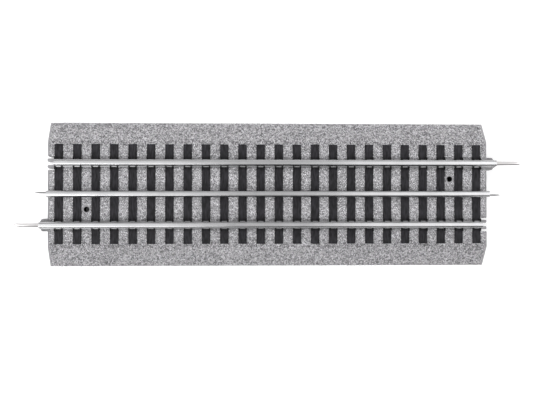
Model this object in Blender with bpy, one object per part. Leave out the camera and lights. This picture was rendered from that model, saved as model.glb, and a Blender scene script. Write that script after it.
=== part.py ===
"""Straight three-rail O gauge track section with a moulded ballast roadbed.

Metres, +Z up.  The track runs along X and the origin lies at the middle of the
section, on the surface that the roadbed stands on.  Turned half a turn about Z
the section is the same again, so every end feature is made once, for the +X
end, and copied by that half turn.
"""
import math

import bmesh
import bpy
from mathutils import Matrix, Vector

MM = 0.001
GAP = 0.3 * MM                      # clearance kept between neighbouring pieces
BEYOND = 2.0 * MM                   # how far a cutting shape runs past its target
RIB_OVERLAP = 0.6 * MM              # how far united shapes run into each other
BLOCK_OVERLAP = 0.8 * MM
COLLAR_OVERLAP = 0.5 * MM

# Roadbed moulding
SECTION_LENGTH = 254.0 * MM
BASE_WIDTH = 83.6 * MM
CROWN_WIDTH = 60.6 * MM             # flat top of the ballast
BALLAST_TOP = 11.8 * MM
EDGE_LIP = 0.8 * MM                 # upright edge at the foot of each shoulder
WALL = 1.8 * MM
DECK_UNDERSIDE = 9.6 * MM
RIB_THICKNESS = 1.4 * MM
RIB_CLEARANCE = 1.0 * MM            # the ribs stop this far above the rim
CROSS_RIBS_X = (-84.0 * MM, -42.0 * MM, 0.0, 42.0 * MM, 84.0 * MM)
LONG_RIB_Y = 9.0 * MM
LONG_RIB_END = 112.0 * MM

# Sleepers
SLEEPER_COUNT = 24
SLEEPER_PITCH = 10.5 * MM
SLEEPER_WIDTH = 4.85 * MM
SLEEPER_LENGTH = 57.3 * MM
SLEEPER_TOP = 12.8 * MM
SLEEPER_BOTTOM = 10.6 * MM
SLEEPER_CHAMFER = 0.25 * MM
CHAIR_WIDTH = 0.8 * MM              # hooks that keep the outer rails' feet down
CHAIR_THICKNESS = 0.5 * MM
CHAIR_POST = 0.75 * MM
CHAIR_REACH = 0.75 * MM             # overlap of the hook and the foot
CHAIR_CHAMFER = 0.2 * MM
CHAIR_OVERLAP = 0.4 * MM

# Rails
RAIL_Y = 17.7 * MM                  # centre line of each outer rail
RAIL_TOP = 20.0 * MM
RAIL_BASE = 13.1 * MM
FOOT_EDGE = 0.4 * MM
FOOT_RISE = 0.15 * MM
OUTER_FOOT_WIDTH = 4.65 * MM
CENTRE_FOOT_WIDTH = 3.6 * MM
WEB_WIDTH = 1.0 * MM
HEAD_WIDTH = 3.5 * MM
HEAD_HEIGHT = 3.35 * MM
HEAD_RADIUS = 1.1 * MM
HEAD_CHAMFER = 0.65 * MM
HOLLOW_WIDTH = 2.8 * MM
HOLLOW_HEIGHT = 2.7 * MM
HOLLOW_ROOF = 0.3 * MM
HOLLOW_RADIUS = 0.8 * MM
MALE_RAIL_END = 131.0 * MM
FEMALE_RAIL_END = 122.7 * MM
CENTRE_RAIL_END = 126.85 * MM

# Tabs under the rails
TAB_LENGTH = 3.4 * MM
TAB_THICKNESS = 0.9 * MM
TAB_FLANGE = 2.4 * MM
TAB_FLANGE_THICKNESS = 0.4 * MM
TAB_OVERLAP = 0.2 * MM
OUTER_TABS_X = (-115.5 * MM, -73.5 * MM, -31.5 * MM, 31.5 * MM, 73.5 * MM, 115.5 * MM)
CENTRE_TABS_X = (-94.5 * MM, -52.5 * MM, -10.5 * MM, 10.5 * MM, 52.5 * MM, 94.5 * MM)
JUMPER_X = 115.5 * MM               # tabs here also hold the jumper
TERMINAL_X = 94.5 * MM              # tabs here also hold the centre terminal

# Rail pins and centre blades
PIN_Z = RAIL_TOP - HOLLOW_ROOF - HOLLOW_HEIGHT / 2
PIN_RADIUS = 1.15 * MM
PIN_SHANK_RADIUS = 1.05 * MM
PIN_INNER_END = 117.0 * MM
PIN_INNER_RADIUS = 0.9 * MM
PIN_END_CHAMFER = 0.2 * MM
PIN_GROOVE_RADIUS = 0.85 * MM
PIN_GROOVE_START = 123.4 * MM
PIN_GROOVE_END = 125.2 * MM
PIN_GROOVE_SLOPE = 0.5 * MM
PIN_TIP = 145.0 * MM
PIN_NOSE = 4.0 * MM
PIN_NOSE_SHIFT = 0.55 * MM          # the nose leans towards the middle of the track
PIN_SIDES = 16
BLADE_INNER_END = 116.0 * MM
BLADE_TIP = 133.3 * MM
BLADE_TAPER = 3.4 * MM
BLADE_THICKNESS = 1.0 * MM
BLADE_HEIGHT = 2.1 * MM
BLADE_OFFSET = 0.65 * MM

# Interlocking ends
TONGUE_LENGTH = 4.0 * MM
TONGUE_WIDTH = 7.35 * MM
TONGUE_TOP = 11.5 * MM
TONGUE_BOTTOM = 1.5 * MM
TONGUE_RADIUS = 1.5 * MM
TONGUE_HOLLOW = 5.9 * MM
TONGUE_NECK = 0.9 * MM              # the hollow runs this far into the end wall
SOCKET_WIDTH = 7.6 * MM
SOCKET_BACK = 123.2 * MM
SOCKET_MOUTH_RADIUS = 0.6 * MM
SOCKET_BLOCK_WIDTH = 10.8 * MM
SOCKET_BLOCK_BACK = 119.0 * MM
SOCKET_BLOCK_BOTTOM = 1.2 * MM
PRONG_WIDTH = 1.85 * MM
PRONG_SPAN = 5.6 * MM               # over both prongs
PRONG_TIP = 127.6 * MM
PRONG_RADIUS = 0.5 * MM
PRONG_BOTTOM = 1.6 * MM
PRONG_TOP = 9.2 * MM

# Screw holes
SCREW_X = 105.0 * MM
SCREW_Y = 8.8 * MM
SCREW_BORE = 3.1 * MM
SCREW_COLLAR = 4.8 * MM
SCREW_COLLAR_TOP = 12.1 * MM
SCREW_BOSS = 6.6 * MM
SCREW_BOSS_BOTTOM = 1.1 * MM
SCREW_SIDES = 24

# Sheet metal under the deck
SHEET = 0.4 * MM
SHEET_TOP = DECK_UNDERSIDE - GAP
JUMPER_WIDTH = 6.0 * MM
JUMPER_HALF_LENGTH = 21.0 * MM
SPADE_WIDTH = 2.8 * MM
SPADE_Z = 7.0 * MM
SPADE_LENGTH = 6.0 * MM
SPADE_FLAT = 1.5 * MM               # level part before the step down
SPADE_STEP = 2.0 * MM               # length of the step down
SPADE_OVERLAP = 1.0 * MM
SPADE_Y = 5.4 * MM
TERMINAL_PLATE = 6.0 * MM

HALF_TURN = Matrix.Rotation(math.pi, 4, "Z")


def clear_scene():
    """Remove whatever the open file holds."""
    for obj in list(bpy.data.objects):
        bpy.data.objects.remove(obj, do_unlink=True)


def make_material(name, colour, roughness, metallic=0.0):
    """Return a Principled material with the piece's colour and finish."""
    material = bpy.data.materials.new(name)
    material.use_nodes = True
    shader = material.node_tree.nodes["Principled BSDF"]
    shader.inputs["Base Color"].default_value = (*colour, 1.0)
    shader.inputs["Roughness"].default_value = roughness
    shader.inputs["Metallic"].default_value = metallic
    material.diffuse_color = (*colour, 1.0)
    return material


def make_object(name, mesh, material=None):
    """Link a new object that shows the mesh."""
    obj = bpy.data.objects.new(name, mesh)
    bpy.context.scene.collection.objects.link(obj)
    if material is not None:
        mesh.materials.clear()
        mesh.materials.append(material)
    return obj


def mesh_from(bm, name):
    """Turn a bmesh into a mesh with its faces pointing out."""
    bmesh.ops.recalc_face_normals(bm, faces=bm.faces)
    mesh = bpy.data.meshes.new(name)
    bm.to_mesh(mesh)
    bm.free()
    return mesh


def add_prism(bm, outline, low, high, axes):
    """Extrude a closed outline from low to high along the third axis.

    axes names the outline's two axes and then the axis of extrusion, as "yzx".
    """
    order = [axes.index(letter) for letter in "xyz"]

    def place(u, v, w):
        values = (u, v, w)
        return Vector([values[index] for index in order])

    bottom = [bm.verts.new(place(u, v, low)) for u, v in outline]
    top = [bm.verts.new(place(u, v, high)) for u, v in outline]
    count = len(outline)
    for index in range(count):
        after = (index + 1) % count
        bm.faces.new((bottom[index], bottom[after], top[after], top[index]))
    bm.faces.new(bottom)
    bm.faces.new(top)


def add_box(bm, x_range, y_range, z_range):
    """Add a box between two values on each axis."""
    (x0, x1), (y0, y1), (z0, z1) = x_range, y_range, z_range
    add_prism(bm, ((x0, y0), (x1, y0), (x1, y1), (x0, y1)), z0, z1, "xyz")


def centred(middle, width):
    """Return the range of a width about its middle."""
    return middle - width / 2, middle + width / 2


def arc(centre, radius, start, end, steps):
    """Return points along an arc between two angles in degrees."""
    points = []
    for step in range(steps + 1):
        angle = math.radians(start + (end - start) * step / steps)
        points.append((centre[0] + radius * math.cos(angle),
                       centre[1] + radius * math.sin(angle)))
    return points


def disc(centre, radius, sides):
    """Return the outline of a round piece."""
    return arc(centre, radius, 0.0, 360.0, sides)[:-1]


def turned_copies(bm):
    """Add the half-turned copy of everything made so far."""
    copied = bmesh.ops.duplicate(bm, geom=bm.verts[:] + bm.edges[:] + bm.faces[:])
    verts = [item for item in copied["geom"] if isinstance(item, bmesh.types.BMVert)]
    bmesh.ops.transform(bm, matrix=HALF_TURN, verts=verts)


def combine(target, bm, operation):
    """Unite the target with a tool shape, or cut that shape out of it."""
    tool = make_object(target.name + "_tool", mesh_from(bm, target.name + "_tool"))
    modifier = target.modifiers.new(operation.lower(), "BOOLEAN")
    modifier.operation = operation
    modifier.solver = "EXACT"
    modifier.object = tool
    graph = bpy.context.evaluated_depsgraph_get()
    result = bpy.data.meshes.new_from_object(target.evaluated_get(graph))
    target.modifiers.clear()
    target.data = result
    bpy.data.objects.remove(tool, do_unlink=True)


def shade_round(obj, angle_degrees):
    """Shade smooth, with creases where the faces turn more than the angle."""
    obj.data.shade_smooth()
    obj.data.set_sharp_from_angle(angle=math.radians(angle_degrees))


# ---------------------------------------------------------------- roadbed

def shoulder_inside(z):
    """Return how far out the inner face of the shoulder lies at a height."""
    run = (BASE_WIDTH - CROWN_WIDTH) / 2
    rise = BALLAST_TOP - EDGE_LIP
    slope_length = math.hypot(run, rise)
    offset = WALL * slope_length / rise
    return BASE_WIDTH / 2 - offset - (z - EDGE_LIP) * run / rise


def sleeper_positions():
    """Return the sleepers' places along the track."""
    middle = (SLEEPER_COUNT - 1) / 2
    return [(index - middle) * SLEEPER_PITCH for index in range(SLEEPER_COUNT)]


def across_outline(z_low, z_high, into_wall=0.0):
    """Return the inner section across the track between two heights."""
    low = shoulder_inside(z_low) + into_wall
    high = shoulder_inside(z_high) + into_wall
    return ((-low, z_low), (low, z_low), (high, z_high), (-high, z_high))


def hollow_out(roadbed):
    """Cut the space under the deck and stand the ribs in it."""
    end = SECTION_LENGTH / 2 - WALL
    bm = bmesh.new()
    add_prism(bm, across_outline(-BEYOND, DECK_UNDERSIDE), -end, end, "yzx")
    combine(roadbed, bm, "DIFFERENCE")

    embedded = DECK_UNDERSIDE + RIB_OVERLAP
    bm = bmesh.new()
    for x in CROSS_RIBS_X:
        low, high = centred(x, RIB_THICKNESS)
        add_prism(bm, across_outline(RIB_CLEARANCE, embedded, WALL / 2), low, high, "yzx")
    combine(roadbed, bm, "UNION")

    bm = bmesh.new()
    for y in (-LONG_RIB_Y, LONG_RIB_Y):
        add_box(bm, (-LONG_RIB_END, LONG_RIB_END), centred(y, RIB_THICKNESS),
                (RIB_CLEARANCE + GAP, embedded))
    combine(roadbed, bm, "UNION")


def tongue_outline():
    """Return the plan of the tongue at the +X end, with rounded corners."""
    start = SECTION_LENGTH / 2 - WALL / 2
    tip = SECTION_LENGTH / 2 + TONGUE_LENGTH
    low, high = centred(RAIL_Y, TONGUE_WIDTH)
    inset = TONGUE_RADIUS
    return [(start, low),
            *arc((tip - inset, low + inset), inset, -90.0, 0.0, 4),
            *arc((tip - inset, high - inset), inset, 0.0, 90.0, 4),
            (start, high)]


def prong_outline(middle):
    """Return the plan of one prong in the socket at the +X end."""
    low, high = centred(middle, PRONG_WIDTH)
    start = SOCKET_BACK - RIB_OVERLAP
    inset = PRONG_RADIUS
    return [(start, low), *arc((PRONG_TIP - inset, low + inset), inset, -90.0, 0.0, 3),
            *arc((PRONG_TIP - inset, high - inset), inset, 0.0, 90.0, 3), (start, high)]


def socket_outline():
    """Return the plan of the socket at the +X end, flared at its mouth."""
    low, high = centred(-RAIL_Y, SOCKET_WIDTH)
    edge = SECTION_LENGTH / 2
    outside = edge + BEYOND
    flare = SOCKET_MOUTH_RADIUS
    return [(SOCKET_BACK, low), *arc((edge - flare, low - flare), flare, 90.0, 0.0, 4),
            (outside, low - flare), (outside, high + flare),
            *arc((edge - flare, high + flare), flare, 0.0, -90.0, 4),
            (SOCKET_BACK, high)]


def add_end_blocks(roadbed):
    """Unite the tongues, the sockets' blocks and the screw bosses."""
    embedded = DECK_UNDERSIDE + BLOCK_OVERLAP
    wall_middle = SECTION_LENGTH / 2 - COLLAR_OVERLAP
    bm = bmesh.new()
    add_prism(bm, tongue_outline(), TONGUE_BOTTOM, TONGUE_TOP, "xyz")
    add_box(bm, (SOCKET_BLOCK_BACK, wall_middle), centred(-RAIL_Y, SOCKET_BLOCK_WIDTH),
            (SOCKET_BLOCK_BOTTOM, embedded))
    add_prism(bm, disc((SCREW_X, SCREW_Y), SCREW_BOSS / 2, SCREW_SIDES),
              SCREW_BOSS_BOTTOM, embedded, "xyz")
    turned_copies(bm)
    combine(roadbed, bm, "UNION")

    bm = bmesh.new()
    add_prism(bm, disc((SCREW_X, SCREW_Y), SCREW_COLLAR / 2, SCREW_SIDES),
              DECK_UNDERSIDE + COLLAR_OVERLAP, SCREW_COLLAR_TOP, "xyz")
    turned_copies(bm)
    combine(roadbed, bm, "UNION")


def cut_pockets(roadbed):
    """Cut the sleepers' pockets and the slots for the rails' tabs."""
    above = BALLAST_TOP + BEYOND
    bm = bmesh.new()
    for x in sleeper_positions():
        add_box(bm, centred(x, SLEEPER_WIDTH + 2 * GAP),
                centred(0.0, SLEEPER_LENGTH + 2 * GAP), (SLEEPER_BOTTOM - GAP, above))
    combine(roadbed, bm, "DIFFERENCE")

    bm = bmesh.new()
    rows = ((RAIL_Y, OUTER_TABS_X), (-RAIL_Y, OUTER_TABS_X), (0.0, CENTRE_TABS_X))
    for y, places in rows:
        for x in places:
            add_box(bm, centred(x, TAB_LENGTH + 2 * GAP),
                    centred(y, TAB_THICKNESS + 2 * GAP), (DECK_UNDERSIDE - GAP, above))
    combine(roadbed, bm, "DIFFERENCE")


def cut_ends(roadbed):
    """Cut the screw bores, the tongues' hollows and the sockets."""
    above = BALLAST_TOP + BEYOND
    below = -BEYOND
    edge = SECTION_LENGTH / 2
    bm = bmesh.new()
    add_prism(bm, disc((SCREW_X, SCREW_Y), SCREW_BORE / 2, SCREW_SIDES), below, above, "xyz")
    add_box(bm, (edge - TONGUE_NECK, edge + TONGUE_LENGTH + BEYOND),
            centred(RAIL_Y, TONGUE_HOLLOW), (below, DECK_UNDERSIDE))
    add_prism(bm, socket_outline(), below, above, "xyz")
    turned_copies(bm)
    combine(roadbed, bm, "DIFFERENCE")

    bm = bmesh.new()
    for side in (-1, 1):
        middle = -RAIL_Y + side * (PRONG_SPAN - PRONG_WIDTH) / 2
        add_prism(bm, prong_outline(middle), PRONG_BOTTOM, PRONG_TOP, "xyz")
    turned_copies(bm)
    combine(roadbed, bm, "UNION")


def build_roadbed(material):
    """Make the ballast moulding: shell, ribs, bosses, pockets and ends."""
    foot = BASE_WIDTH / 2
    crown = CROWN_WIDTH / 2
    outline = ((-foot, 0.0), (foot, 0.0), (foot, EDGE_LIP), (crown, BALLAST_TOP),
               (-crown, BALLAST_TOP), (-foot, EDGE_LIP))
    bm = bmesh.new()
    add_prism(bm, outline, -SECTION_LENGTH / 2, SECTION_LENGTH / 2, "yzx")
    roadbed = make_object("roadbed", mesh_from(bm, "roadbed"))
    hollow_out(roadbed)
    add_end_blocks(roadbed)
    cut_pockets(roadbed)
    cut_ends(roadbed)
    roadbed.data.materials.clear()
    roadbed.data.materials.append(material)
    return roadbed


# --------------------------------------------------------------- sleepers

def chair_outline(rail_y, side):
    """Return the hook's outline across the track, on one side of a rail."""
    foot = OUTER_FOOT_WIDTH / 2
    inner = foot + GAP
    outer = inner + CHAIR_POST
    tip = foot - CHAIR_REACH
    under = RAIL_BASE + FOOT_EDGE + FOOT_RISE + GAP
    top = under + CHAIR_THICKNESS
    embedded = SLEEPER_TOP - CHAIR_OVERLAP
    outline = ((inner, embedded), (outer, embedded), (outer, top - CHAIR_CHAMFER),
               (outer - CHAIR_CHAMFER, top), (tip, top), (tip, under), (inner, under))
    return [(rail_y + side * y, z) for y, z in outline]


def sleeper_mesh():
    """Make one sleeper: a chamfered bar with hooks for the outer rails."""
    half_width = SLEEPER_WIDTH / 2
    chamfer = SLEEPER_CHAMFER
    outline = ((-half_width, SLEEPER_BOTTOM), (half_width, SLEEPER_BOTTOM),
               (half_width, SLEEPER_TOP - chamfer), (half_width - chamfer, SLEEPER_TOP),
               (-half_width + chamfer, SLEEPER_TOP), (-half_width, SLEEPER_TOP - chamfer))
    bm = bmesh.new()
    add_prism(bm, outline, -SLEEPER_LENGTH / 2, SLEEPER_LENGTH / 2, "xzy")
    sleeper = make_object("sleeper_pattern", mesh_from(bm, "sleeper"))

    bm = bmesh.new()
    offset = half_width - chamfer - CHAIR_WIDTH / 2
    for rail_y in (-RAIL_Y, RAIL_Y):
        for side in (-1, 1):
            for x in (-offset, offset):
                low, high = centred(x, CHAIR_WIDTH)
                add_prism(bm, chair_outline(rail_y, side), low, high, "yzx")
    combine(sleeper, bm, "UNION")
    mesh = sleeper.data
    bpy.data.objects.remove(sleeper, do_unlink=True)
    return mesh


def build_sleepers(material):
    """Place the sleepers in their pockets."""
    mesh = sleeper_mesh()
    mesh.materials.clear()
    mesh.materials.append(material)
    for number, x in enumerate(sleeper_positions(), start=1):
        sleeper = make_object(f"sleeper_{number:02d}", mesh)
        sleeper.location = (x, 0.0, 0.0)


# ------------------------------------------------------------------ rails

def rail_outline(foot_width):
    """Return the rail's section: foot, web and rounded head."""
    foot = foot_width / 2
    web = WEB_WIDTH / 2
    head = HEAD_WIDTH / 2
    head_bottom = RAIL_TOP - HEAD_HEIGHT
    foot_top = RAIL_BASE + FOOT_EDGE
    corner = arc((head - HEAD_RADIUS, RAIL_TOP - HEAD_RADIUS), HEAD_RADIUS, 0.0, 90.0, 4)
    right = [(foot, RAIL_BASE), (foot, foot_top), (web, foot_top + FOOT_RISE),
             (web, head_bottom), (head - HEAD_CHAMFER, head_bottom),
             (head, head_bottom + HEAD_CHAMFER), *corner]
    return right + [(-y, z) for y, z in reversed(right)]


def hollow_outline():
    """Return the section of the space inside the head."""
    half = HOLLOW_WIDTH / 2
    roof = RAIL_TOP - HOLLOW_ROOF
    floor = roof - HOLLOW_HEIGHT
    radius = HOLLOW_RADIUS
    right = [*arc((half - radius, floor + radius), radius, -90.0, 0.0, 3),
             *arc((half - radius, roof - radius), radius, 0.0, 90.0, 3)]
    return right + [(-y, z) for y, z in reversed(right)]


def add_tab(bm, x, y, side, holds_sheet):
    """Add one tab that passes through the deck and is bent over below it."""
    top = RAIL_BASE + TAB_OVERLAP
    flange_top = SHEET_TOP - (SHEET + GAP if holds_sheet else 0.0)
    bottom = flange_top - TAB_FLANGE_THICKNESS
    half = TAB_THICKNESS / 2
    outline = [(-half, top), (-half, bottom), (TAB_FLANGE, bottom),
               (TAB_FLANGE, flange_top), (half, flange_top), (half, top)]
    low, high = centred(x, TAB_LENGTH)
    add_prism(bm, [(y + side * v, z) for v, z in outline], low, high, "yzx")


def build_rail(name, y, x_range, foot_width, tabs, material):
    """Make one folded sheet rail with a hollow head and bent tabs.

    tabs lists each tab's place, the side it is bent to, and whether it also
    clamps a sheet metal piece.
    """
    bm = bmesh.new()
    outline = [(y + v, z) for v, z in rail_outline(foot_width)]
    add_prism(bm, outline, x_range[0], x_range[1], "yzx")
    rail = make_object(name, mesh_from(bm, name))

    bm = bmesh.new()
    hollow = [(y + v, z) for v, z in hollow_outline()]
    add_prism(bm, hollow, x_range[0] - BEYOND, x_range[1] + BEYOND, "yzx")
    combine(rail, bm, "DIFFERENCE")

    bm = bmesh.new()
    for x, side, holds_sheet in tabs:
        add_tab(bm, x, y, side, holds_sheet)
    combine(rail, bm, "UNION")
    rail.data.materials.clear()
    rail.data.materials.append(material)
    shade_round(rail, 32.0)
    return rail


def build_rails(material):
    """Make the two outer rails and the centre rail."""
    far_tabs = [(x, 1, abs(x) == JUMPER_X) for x in OUTER_TABS_X]
    near_tabs = [(x, -1, abs(x) == JUMPER_X) for x in OUTER_TABS_X]
    centre_tabs = [(x, 1 if x > 0 else -1, abs(x) == TERMINAL_X) for x in CENTRE_TABS_X]
    build_rail("rail_outer_far", RAIL_Y, (-FEMALE_RAIL_END, MALE_RAIL_END),
               OUTER_FOOT_WIDTH, far_tabs, material)
    build_rail("rail_outer_near", -RAIL_Y, (-MALE_RAIL_END, FEMALE_RAIL_END),
               OUTER_FOOT_WIDTH, near_tabs, material)
    build_rail("rail_centre", 0.0, (-CENTRE_RAIL_END, CENTRE_RAIL_END),
               CENTRE_FOOT_WIDTH, centre_tabs, material)


# ---------------------------------------------------- pins and blades

def pin_profile():
    """Return the pin's turned profile: place along X and radius."""
    shank = PIN_SHANK_RADIUS
    groove = PIN_GROOVE_RADIUS
    shoulder = MALE_RAIL_END + GAP
    profile = [(PIN_INNER_END, PIN_INNER_RADIUS), (PIN_INNER_END + PIN_END_CHAMFER, shank),
               (PIN_GROOVE_START, shank), (PIN_GROOVE_START + PIN_GROOVE_SLOPE, groove),
               (PIN_GROOVE_END - PIN_GROOVE_SLOPE, groove), (PIN_GROOVE_END, shank),
               (shoulder, shank), (shoulder, PIN_RADIUS)]
    steps = 6
    for step in range(steps):
        part = step / steps
        profile.append((PIN_TIP - PIN_NOSE + PIN_NOSE * part,
                        PIN_RADIUS * math.sqrt(1.0 - part ** 2)))
    return profile


def pin_mesh():
    """Make the pin for the +X end of the far rail, about the rail's line."""
    bm = bmesh.new()
    rings = []
    for x, radius in pin_profile():
        lean = max(0.0, x - (PIN_TIP - PIN_NOSE)) / PIN_NOSE
        shift = -PIN_NOSE_SHIFT * lean ** 2
        rings.append([bm.verts.new((x, shift + y, z))
                      for y, z in disc((0.0, 0.0), radius, PIN_SIDES)])
    for ring, following in zip(rings, rings[1:]):
        for index in range(PIN_SIDES):
            after = (index + 1) % PIN_SIDES
            bm.faces.new((ring[index], ring[after], following[after], following[index]))
    bm.faces.new(rings[0])
    tip = bm.verts.new((PIN_TIP, -PIN_NOSE_SHIFT, 0.0))
    for index in range(PIN_SIDES):
        bm.faces.new((rings[-1][index], rings[-1][(index + 1) % PIN_SIDES], tip))
    return mesh_from(bm, "rail_pin")


def build_pins(material):
    """Place a pin in the male end of each outer rail."""
    mesh = pin_mesh()
    mesh.materials.append(material)
    right = make_object("rail_pin_right", mesh)
    right.location = (0.0, RAIL_Y, PIN_Z)
    left = make_object("rail_pin_left", mesh)
    left.location = (0.0, -RAIL_Y, PIN_Z)
    left.rotation_euler = (0.0, 0.0, math.pi)
    for pin in (right, left):
        shade_round(pin, 35.0)


def blade_mesh():
    """Make the centre rail's blade for the +X end: flat, with a pointed tip."""
    thickness = BLADE_THICKNESS / 2
    height = BLADE_HEIGHT / 2
    stations = ((BLADE_INNER_END, thickness, height),
                (BLADE_TIP - BLADE_TAPER, thickness, height),
                (BLADE_TIP - 0.35 * BLADE_TAPER, 0.62 * thickness, 0.85 * height),
                (BLADE_TIP, 0.15 * thickness, 0.35 * height))
    bm = bmesh.new()
    rings = []
    for x, half_y, half_z in stations:
        corners = ((-half_y, -half_z), (half_y, -half_z), (half_y, half_z), (-half_y, half_z))
        rings.append([bm.verts.new((x, y, z)) for y, z in corners])
    for ring, following in zip(rings, rings[1:]):
        for index in range(4):
            after = (index + 1) % 4
            bm.faces.new((ring[index], ring[after], following[after], following[index]))
    bm.faces.new(rings[0])
    bm.faces.new(rings[-1])
    return mesh_from(bm, "centre_blade")


def build_blades(material):
    """Place a blade in one half of the centre rail's head at each end."""
    mesh = blade_mesh()
    mesh.materials.append(material)
    right = make_object("centre_blade_right", mesh)
    right.location = (0.0, -BLADE_OFFSET, PIN_Z)
    left = make_object("centre_blade_left", mesh)
    left.location = (0.0, BLADE_OFFSET, PIN_Z)
    left.rotation_euler = (0.0, 0.0, math.pi)


# ------------------------------------------------- sheet metal underneath

def spade_outline(start, direction):
    """Return a spade terminal's side view, stepped down from the sheet."""
    top = SHEET_TOP
    drop = top - (SPADE_Z + SHEET)
    bend = SPADE_FLAT + SPADE_STEP
    upper = ((start, top), (start + direction * SPADE_FLAT, top),
             (start + direction * bend, top - drop),
             (start + direction * (bend + SPADE_LENGTH), top - drop))
    lower = [(x, z - SHEET) for x, z in reversed(upper)]
    return [*upper, *lower]


def build_plate(name, x_range, y_range, slots, spade, material):
    """Make a flat plate with slots for tabs and one spade terminal."""
    bm = bmesh.new()
    add_box(bm, x_range, y_range, (SHEET_TOP - SHEET, SHEET_TOP))
    plate = make_object(name, mesh_from(bm, name))

    start, direction, y = spade
    low, high = centred(y, SPADE_WIDTH)
    bm = bmesh.new()
    add_prism(bm, spade_outline(start, direction), low, high, "xzy")
    combine(plate, bm, "UNION")

    bm = bmesh.new()
    for x, slot_y in slots:
        add_box(bm, centred(x, TAB_LENGTH + 2 * GAP), centred(slot_y, TAB_THICKNESS + 2 * GAP),
                (SHEET_TOP - 2 * SHEET, SHEET_TOP + SHEET))
    combine(plate, bm, "DIFFERENCE")
    plate.data.materials.clear()
    plate.data.materials.append(material)
    return plate


def build_underside_metal(material):
    """Make the outer rails' jumpers and the centre rail's terminals."""
    half_length = (-JUMPER_HALF_LENGTH, JUMPER_HALF_LENGTH)
    for side, name in ((1, "right"), (-1, "left")):
        jumper_x = side * JUMPER_X
        spade_start = side * (JUMPER_X - JUMPER_WIDTH / 2 + SPADE_OVERLAP)
        build_plate("outer_jumper_" + name, centred(jumper_x, JUMPER_WIDTH), half_length,
                    [(jumper_x, RAIL_Y), (jumper_x, -RAIL_Y)],
                    (spade_start, -side, -side * SPADE_Y), material)
        terminal_x = side * TERMINAL_X
        spade_start = side * (TERMINAL_X + TERMINAL_PLATE / 2 - SPADE_OVERLAP)
        build_plate("centre_terminal_" + name, centred(terminal_x, TERMINAL_PLATE),
                    centred(0.0, TERMINAL_PLATE), [(terminal_x, 0.0)],
                    (spade_start, side, 0.0), material)


def main():
    clear_scene()
    ballast = make_material("ballast_grey", (0.36, 0.36, 0.375), 0.85)
    sleeper = make_material("sleeper_black", (0.032, 0.031, 0.035), 0.7)
    rail = make_material("plated_rail", (0.62, 0.62, 0.64), 0.28, 1.0)
    pin = make_material("pin_steel", (0.72, 0.72, 0.73), 0.22, 1.0)
    brass = make_material("tinned_brass", (0.66, 0.58, 0.38), 0.35, 1.0)
    build_roadbed(ballast)
    build_sleepers(sleeper)
    build_rails(rail)
    build_pins(pin)
    build_blades(pin)
    build_underside_metal(brass)


main()
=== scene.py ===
"""Looks of a straight three-rail O gauge track section with a moulded ballast roadbed.

The track runs along X, in metres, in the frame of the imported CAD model.  The
solids of the roadbed, the centre blades and the sheet metal under the deck
stay; a skin of moulded stones is added on the roadbed's crown, shoulders and
tongues.  Sleepers, rails and rail pins are rebuilt with finer shapes in the
places of their CAD solids.
"""
import math

import bmesh
import bpy
import numpy as np
from mathutils import Matrix, Vector
from mathutils.geometry import delaunay_2d_cdt


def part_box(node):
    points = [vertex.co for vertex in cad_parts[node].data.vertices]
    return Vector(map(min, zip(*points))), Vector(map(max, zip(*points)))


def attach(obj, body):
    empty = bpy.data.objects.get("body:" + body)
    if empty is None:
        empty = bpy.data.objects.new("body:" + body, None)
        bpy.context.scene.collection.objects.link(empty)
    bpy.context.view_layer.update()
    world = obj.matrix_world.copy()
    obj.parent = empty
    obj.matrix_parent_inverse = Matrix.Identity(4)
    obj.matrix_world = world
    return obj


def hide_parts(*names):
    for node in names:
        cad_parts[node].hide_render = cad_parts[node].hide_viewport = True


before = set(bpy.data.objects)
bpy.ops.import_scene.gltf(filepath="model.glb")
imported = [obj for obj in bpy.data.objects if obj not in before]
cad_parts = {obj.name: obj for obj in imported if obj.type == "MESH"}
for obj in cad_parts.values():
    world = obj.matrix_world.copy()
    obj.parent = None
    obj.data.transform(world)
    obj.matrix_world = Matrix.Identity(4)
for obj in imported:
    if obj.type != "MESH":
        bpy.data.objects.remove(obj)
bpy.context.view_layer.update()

MM = 0.001
BODY = "root"

# Places read from the frame
bed_low, bed_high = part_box("roadbed")
tie_low, tie_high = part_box("sleeper_01")
last_low, last_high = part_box("sleeper_24")
far_low, far_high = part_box("rail_outer_far")
near_low, near_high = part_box("rail_outer_near")
mid_low, mid_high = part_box("rail_centre")
pin_low, pin_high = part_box("rail_pin_right")

SLEEPER_COUNT = 24
SLEEPER_WIDTH = tie_high.x - tie_low.x
SLEEPER_LENGTH = tie_high.y - tie_low.y
SLEEPER_BOTTOM = tie_low.z
SLEEPER_TOP = 12.8 * MM
FIRST_SLEEPER = (tie_low.x + tie_high.x) / 2
SLEEPER_PITCH = ((last_low.x + last_high.x) / 2 - FIRST_SLEEPER) / (SLEEPER_COUNT - 1)

# Roadbed moulding
TONGUE_LENGTH = 4.0 * MM
HALF_LENGTH = bed_high.x - TONGUE_LENGTH
HALF_BASE = bed_high.y
HALF_CROWN = 30.3 * MM
BALLAST_TOP = 11.8 * MM
EDGE_LIP = 0.8 * MM
SMOOTH_END = 1.3 * MM               # plain strip at the ends of the shoulders
SMOOTH_FOOT = 1.0 * MM
TONGUE_TOP = 11.5 * MM
TONGUE_WIDTH = 7.35 * MM
TONGUE_RADIUS = 1.5 * MM
SOCKET_WIDTH = 7.6 * MM
SOCKET_BACK = 123.2 * MM
SOCKET_MOUTH_RADIUS = 0.6 * MM
SCREW_X = 105.0 * MM
SCREW_Y = 8.8 * MM
SCREW_BORE = 3.1 * MM
SCREW_COLLAR = 4.8 * MM

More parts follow.
